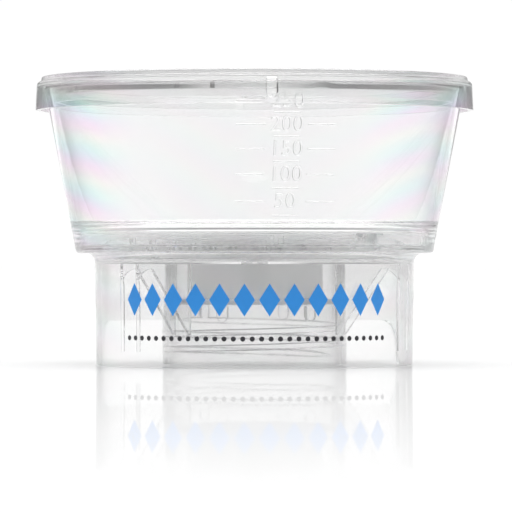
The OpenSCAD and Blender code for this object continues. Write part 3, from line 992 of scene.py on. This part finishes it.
def printed(name, outline, count, pitch, material):
    """Repeats one flat shape, slices the row and bends it round the skirt."""
    half = (count - 1) * pitch / 2
    shape = slab(name, outline, INK, -(INK_OFF + INK / 2))
    row = grow(name, in_a_row, shape, count=count, pitch=pitch * MM, first=(PRINT_MIDDLE - half) * MM)
    bm = bmesh.new()
    bm.from_mesh(row.data)
    bpy.data.objects.remove(row)
    cuts = int(2 * (half + pitch) / SLICE)
    for i in range(cuts):
        plane = PRINT_MIDDLE - half - pitch + (i + SLICE_START) * SLICE
        geometry = bm.verts[:] + bm.edges[:] + bm.faces[:]
        bmesh.ops.bisect_plane(bm, geom=geometry, plane_co=(plane * MM, 0, 0), plane_no=(1, 0, 0))
    slope = (SKIRT_TOP_R - SKIRT_FOOT_R) / (FLANGE_Z - NECK_R)
    piece = grow(name, wrapped, mesh_from(name, bm), radius_at_0=SKIRT_FOOT_R * MM, slope=slope)
    piece.data.materials.clear()
    piece.data.materials.append(material)
    return piece


lozenge = [(-LOZENGE_W / 2, LOZENGE_Z), (0, LOZENGE_Z - LOZENGE_H / 2),
           (LOZENGE_W / 2, LOZENGE_Z), (0, LOZENGE_Z + LOZENGE_H / 2)]
blue = printed("blue_print", lozenge, LOZENGES, LOZENGE_PITCH, blue_ink)
dark = printed("dark_print", arc(0, DOT_Z, DOT_R, 0, 345, 23), DOTS, DOT_PITCH, dark_ink)
print("print:", len(blue.data.polygons) + len(dark.data.polygons), "faces")

# %% [markdown]
# ## Pieces and the frame
# Each finished piece takes its material, rides on the part's only body and stands for the solid that it
# dresses.

# %% Hand the pieces to the frame
pieces = [
    (lid, "lid", "lid_plastic", clear_plastic), (funnel, "funnel", "funnel_plastic", clear_plastic),
    (membrane, "membrane", "membrane", membrane_white),
    (drain, "drain_screen", "drain_fabric", drain_white),
    (base, "base", "base_plastic", base_plastic),
    (gasket, "bottle_gasket", "silicone", silicone), (plug, "port_plug", "cotton", cotton_white)]
for piece, node, slot, material in pieces:
    piece.data.materials.clear()
    piece.data.materials.append(material)
    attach(piece, "root")
    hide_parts(node)
for piece in (blue, dark):
    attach(piece, "root")
print("pieces:", len(pieces) + 2)

# %% [markdown]
# ## Floor
# The floor is a pale, lightly polished board that glows a little, as a light table does, so that it
# hardly takes a shadow. Its polish fades away from the middle. To either side of the line that runs
# straight back, its colour and glow are painted darker, a painted shade, because the outline of a clear
# wall shows what lies there.

# %% Floor
BACK = (0.153, 0.988)
BESIDE, BESIDE_END, BESIDE_PAINTED_SHADE = (0.13, 0.3), (1.0, 2.0), 0.25
POLISH, POLISH_FADE = 0.4, (0.03, 0.8)
FLOOR_R, BOARD_T, FLOOR_STEPS = 5000.0, 2, 96
floor_board, net, shader = new_material(
    "pale floor", Roughness=1.0, Specular_IOR_Level=0.0, Emission_Strength=0.12)
x, y, _ = parts_of(net, object_place(net))
away = (x * x + y * y) ** 0.5
off_line = (x * BACK[1] - y * BACK[0]).of("ABSOLUTE")
# Painted shade: the floor's colour and glow are darkened in a band to either side of the line straight
# back.
shade_beside = off_line.within(*BESIDE) * (1.0 - away.within(*BESIDE_END))
for socket, bright in (("Base Color", 0.6), ("Emission Color", 1.0)):
    shade = (1.0 - shade_beside * BESIDE_PAINTED_SHADE) * bright
    drive(net, shader, socket, net.add("ShaderNodeCombineColor", {}, {i: shade for i in range(3)}))
polish = (1.0 - away.within(*POLISH_FADE)) * POLISH
mirror = net.add("ShaderNodeBsdfGlossy", {}, {"Roughness": 0.0, "Color": (1, 1, 1, 1)})
mix_shaders(net, polish, shader, mirror)
floor = turned("floor", rectangle(0, FLOOR_R, -BOARD_T, -AIR), FLOOR_STEPS)
floor.data.materials.append(floor_board)
floor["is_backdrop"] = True
print("floor radius", FLOOR_R, "mm")

# %% [markdown]
# ## Surroundings
# A clear part is lit by what stands round it. A narrow white screen stands behind, and a bright
# soft box hangs overhead. What draws the edges is the grey between them: the outline of a clear
# wall shows what lies a little to the side of the screen, so the surroundings are dimmer there.

# %% Surroundings
# For each band: the height where it starts, as a sine, and its light behind, at the sides, in front
BANDS = ((-1.0, 1.02, 0.3, 0.2), (0.13, 0.15, 0.8, 0.35), (0.4, 0.3, 0.3, 0.3), (0.7, 2.7, 2.7, 2.7))
BAND_SOFT, SCREEN_EDGE, FRONT_EDGE = 0.05, (0.96, 0.998), (0.0, 0.9)
world = bpy.data.worlds.new("studio")
bpy.context.scene.world = world
world.use_nodes = True
net = Net(world.node_tree)
x, y, height = parts_of(net, net.add("ShaderNodeTexCoord", out="Generated"))
facing_back = x * BACK[0] + y * BACK[1]
behind, before = facing_back.within(*SCREEN_EDGE), (facing_back * -1.0).within(*FRONT_EDGE)
glow = height * 0.0
for edge, at_back, at_sides, at_front in BANDS:
    level = behind * (at_back - at_sides) + before * (at_front - at_sides) + at_sides
    glow = glow + (level - glow) * height.within(edge - BAND_SOFT, edge + BAND_SOFT)
net.tree.links.new(glow.socket, net.tree.nodes["Background"].inputs["Strength"])
net.tree.nodes["Background"].inputs["Color"].default_value = (1, 1, 1, 1)
print("surroundings ready")

# %% [markdown]
# ## Camera
# A long lens, low over the bench and a little to the left of the graduations. Light needs many
# bounces to get through so many walls. The renderer's filter for sharp reflections is off, because
# it loses half of the light that reaches the white discs through clear plastic.

# %% Camera
DISTANCE, CAMERA_Z, AZIMUTH, AIM_Z, AIM_RIGHT = 1.056, 0.03018, -8.8, 0.0286, 0.0004
LENS, SENSOR, NEAREST, FARTHEST, BOUNCES = 281.25, 36.0, 0.01, 50.0, 128
way = math.radians(AZIMUTH)
camera = bpy.data.objects.new("camera", bpy.data.cameras.new("camera"))
bpy.context.scene.collection.objects.link(camera)
bpy.context.scene.camera = camera
camera.location = (DISTANCE * math.sin(way), -DISTANCE * math.cos(way), CAMERA_Z)
aim = Vector((AIM_RIGHT * math.cos(way), AIM_RIGHT * math.sin(way), AIM_Z))
camera.rotation_euler = (aim - camera.location).to_track_quat("-Z", "Y").to_euler()
camera.data.lens, camera.data.sensor_width = LENS, SENSOR
camera.data.clip_start, camera.data.clip_end = NEAREST, FARTHEST
scene = bpy.context.scene
scene.view_settings.view_transform = "Standard"
for kind in ("max", "transmission", "glossy"):
    setattr(scene.cycles, kind + "_bounces", BOUNCES)
scene.cycles.blur_glossy = 0.0
print("camera at", tuple(round(v, 4) for v in camera.location))

# %% [markdown]
# ## Sizes, and the end
# The box of the finished scene is measured last.

# %% Sizes, and the end
low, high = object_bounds()
